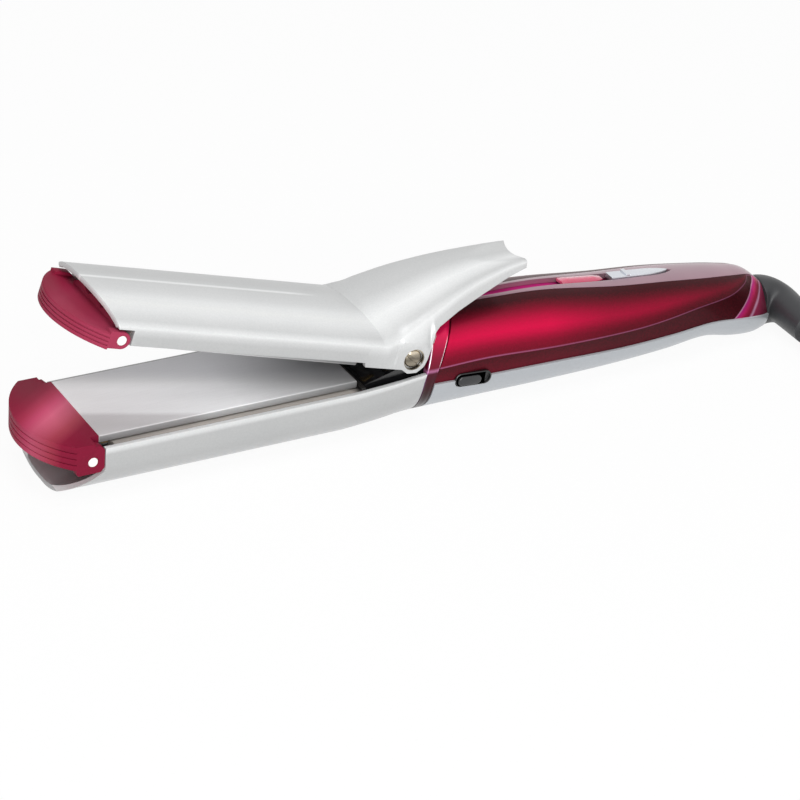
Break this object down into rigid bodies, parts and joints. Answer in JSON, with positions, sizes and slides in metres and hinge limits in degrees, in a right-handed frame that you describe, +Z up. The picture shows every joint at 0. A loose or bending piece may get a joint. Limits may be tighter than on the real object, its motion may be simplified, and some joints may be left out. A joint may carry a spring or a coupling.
{
  "type": "hair crimper",
  "caption": "Hair crimper with two hinged jaws holding slide-in flat and crimping plates, a thumb lever, a tapered handle with slide switch and lock, and a swivel mains cord.",
  "frame": {"origin": "on the table under the middle of the appliance, jaw tips to handle end", "axes": "+X from the jaw tips to the cord, +Z up, +Y to the side away from the lock switch"},
  "size_m": [0.3755, 0.1065, 0.062],
  "materials": {
    "bright_magenta": "glossy metallic magenta paint on the handle's upper shell",
    "collar_magenta": "glossy magenta band with bright edges",
    "slot_lilac": "smooth lilac grey trim with a soft sheen",
    "pearl_silver": "pearl silver paint under a clear gloss",
    "jaw_silver": "pearl silver paint under a clear gloss",
    "crimson_cap": "glossy crimson moulding with fine grooves",
    "satin_plate": "satin grey metal plate",
    "crimp_plate": "satin cast aluminium teeth",
    "hinge_black": "satin black moulding",
    "inner_black": "matt black moulding",
    "bezel_black": "gloss black oval",
    "lock_grey": "dark grey slider",
    "slider_silver": "bright silver slider",
    "pin_white": "smooth white plastic",
    "lens_pink": "translucent pink lens",
    "screw_steel": "polished steel",
    "axle_steel": "turned steel",
    "spring_steel": "spring wire",
    "heater_mica": "heater pad in mica and foil",
    "contact_brass": "plain brass",
    "board_green": "circuit board",
    "fuse_tan": "ceramic body",
    "led_red": "red lamp body",
    "wire_red": "lead insulation",
    "cord_black": "matt black cord sheath",
    "guard_black": "matt charcoal rubber",
    "plug_black": "moulded plug body",
    "plug_brass": "nickel-plated pins"
  },
  "bodies": {
    "handle": {"handle_upper_shell": "bright_magenta", "handle_lower_shell": "pearl_silver", "control_strip": "slot_lilac", "collar_ring": "collar_magenta", "pilot_lens": "lens_pink", "lock_bezel": "bezel_black", "handle_chassis": "inner_black", "control_board": "board_green", "slide_switch": "inner_black", "pilot_led": "led_red", "thermal_fuse": "fuse_tan", "handle_leads": "wire_red", "handle_screws": "screw_steel", "hinge_yoke": "hinge_black", "hinge_axle": "axle_steel", "hinge_screws": "screw_steel", "torsion_spring": "spring_steel", "lower_jaw_shell": "jaw_silver", "lower_jaw_carrier": "inner_black", "swivel_socket": "inner_black"},
    "upper_jaw": {"upper_jaw_shell": "jaw_silver", "upper_jaw_carrier": "inner_black"},
    "lower_plates": {"lower_flat_plate": "satin_plate", "lower_crimp_plate": "crimp_plate", "lower_heater": "heater_mica", "lower_tip_cap": "crimson_cap", "lower_contacts": "contact_brass"},
    "upper_plates": {"upper_flat_plate": "satin_plate", "upper_crimp_plate": "crimp_plate", "upper_heater": "heater_mica", "upper_tip_cap": "crimson_cap", "upper_contacts": "contact_brass"},
    "lower_near_button": {"lower_pin_near": "pin_white"},
    "lower_far_button": {"lower_pin_far": "pin_white"},
    "upper_near_button": {"upper_pin_near": "pin_white"},
    "upper_far_button": {"upper_pin_far": "pin_white"},
    "power_switch": {"power_slider": "slider_silver"},
    "lock_switch": {"jaw_lock": "lock_grey"},
    "cord": {"swivel_hub": "guard_black", "cord_guard": "guard_black", "cord_lead": "cord_black", "cord_coil": "cord_black", "coil_tie": "inner_black", "plug_body": "plug_black", "plug_pins": "plug_brass"}
  },
  "joints": [
    {"name": "jaw_hinge", "type": "hinge", "parent": "handle", "child": "upper_jaw", "pos_m": [-0.0105, 0, 0.027], "axis": [0, 1, 0], "range_deg": [-16.6, 13], "stiffness_Nm_per_rad": 0.6, "springref_deg": 5.73},
    {"name": "lower_plate_slide", "type": "slide", "parent": "handle", "child": "lower_plates", "axis": [-1, 0, 0], "range_m": [0, 0.09]},
    {"name": "upper_plate_slide", "type": "slide", "parent": "upper_jaw", "child": "upper_plates", "axis": [-0.9583, 0, 0.2857], "range_m": [0, 0.09]},
    {"name": "lower_near_press", "type": "slide", "parent": "lower_plates", "child": "lower_near_button", "axis": [0, 1, 0], "range_m": [0, 0.0012], "stiffness_N_per_m": 300, "springref_m": -0.0005},
    {"name": "lower_far_press", "type": "slide", "parent": "lower_plates", "child": "lower_far_button", "axis": [0, -1, 0], "range_m": [0, 0.0012], "stiffness_N_per_m": 300, "springref_m": -0.0005},
    {"name": "upper_near_press", "type": "slide", "parent": "upper_plates", "child": "upper_near_button", "axis": [0, 1, 0], "range_m": [0, 0.0012], "stiffness_N_per_m": 300, "springref_m": -0.0005},
    {"name": "upper_far_press", "type": "slide", "parent": "upper_plates", "child": "upper_far_button", "axis": [0, -1, 0], "range_m": [0, 0.0012], "stiffness_N_per_m": 300, "springref_m": -0.0005},
    {"name": "power_slide", "type": "slide", "parent": "handle", "child": "power_switch", "axis": [-0.9955, 0, 0.0952], "range_m": [0, 0.0024]},
    {"name": "lock_slide", "type": "slide", "parent": "handle", "child": "lock_switch", "axis": [0.9976, 0, -0.0698], "range_m": [0, 0.003]},
    {"name": "cord_swivel", "type": "hinge", "parent": "handle", "child": "cord", "pos_m": [0.1305, 0, 0.0087], "axis": [1, 0, 0], "continuous": true}
  ]
}
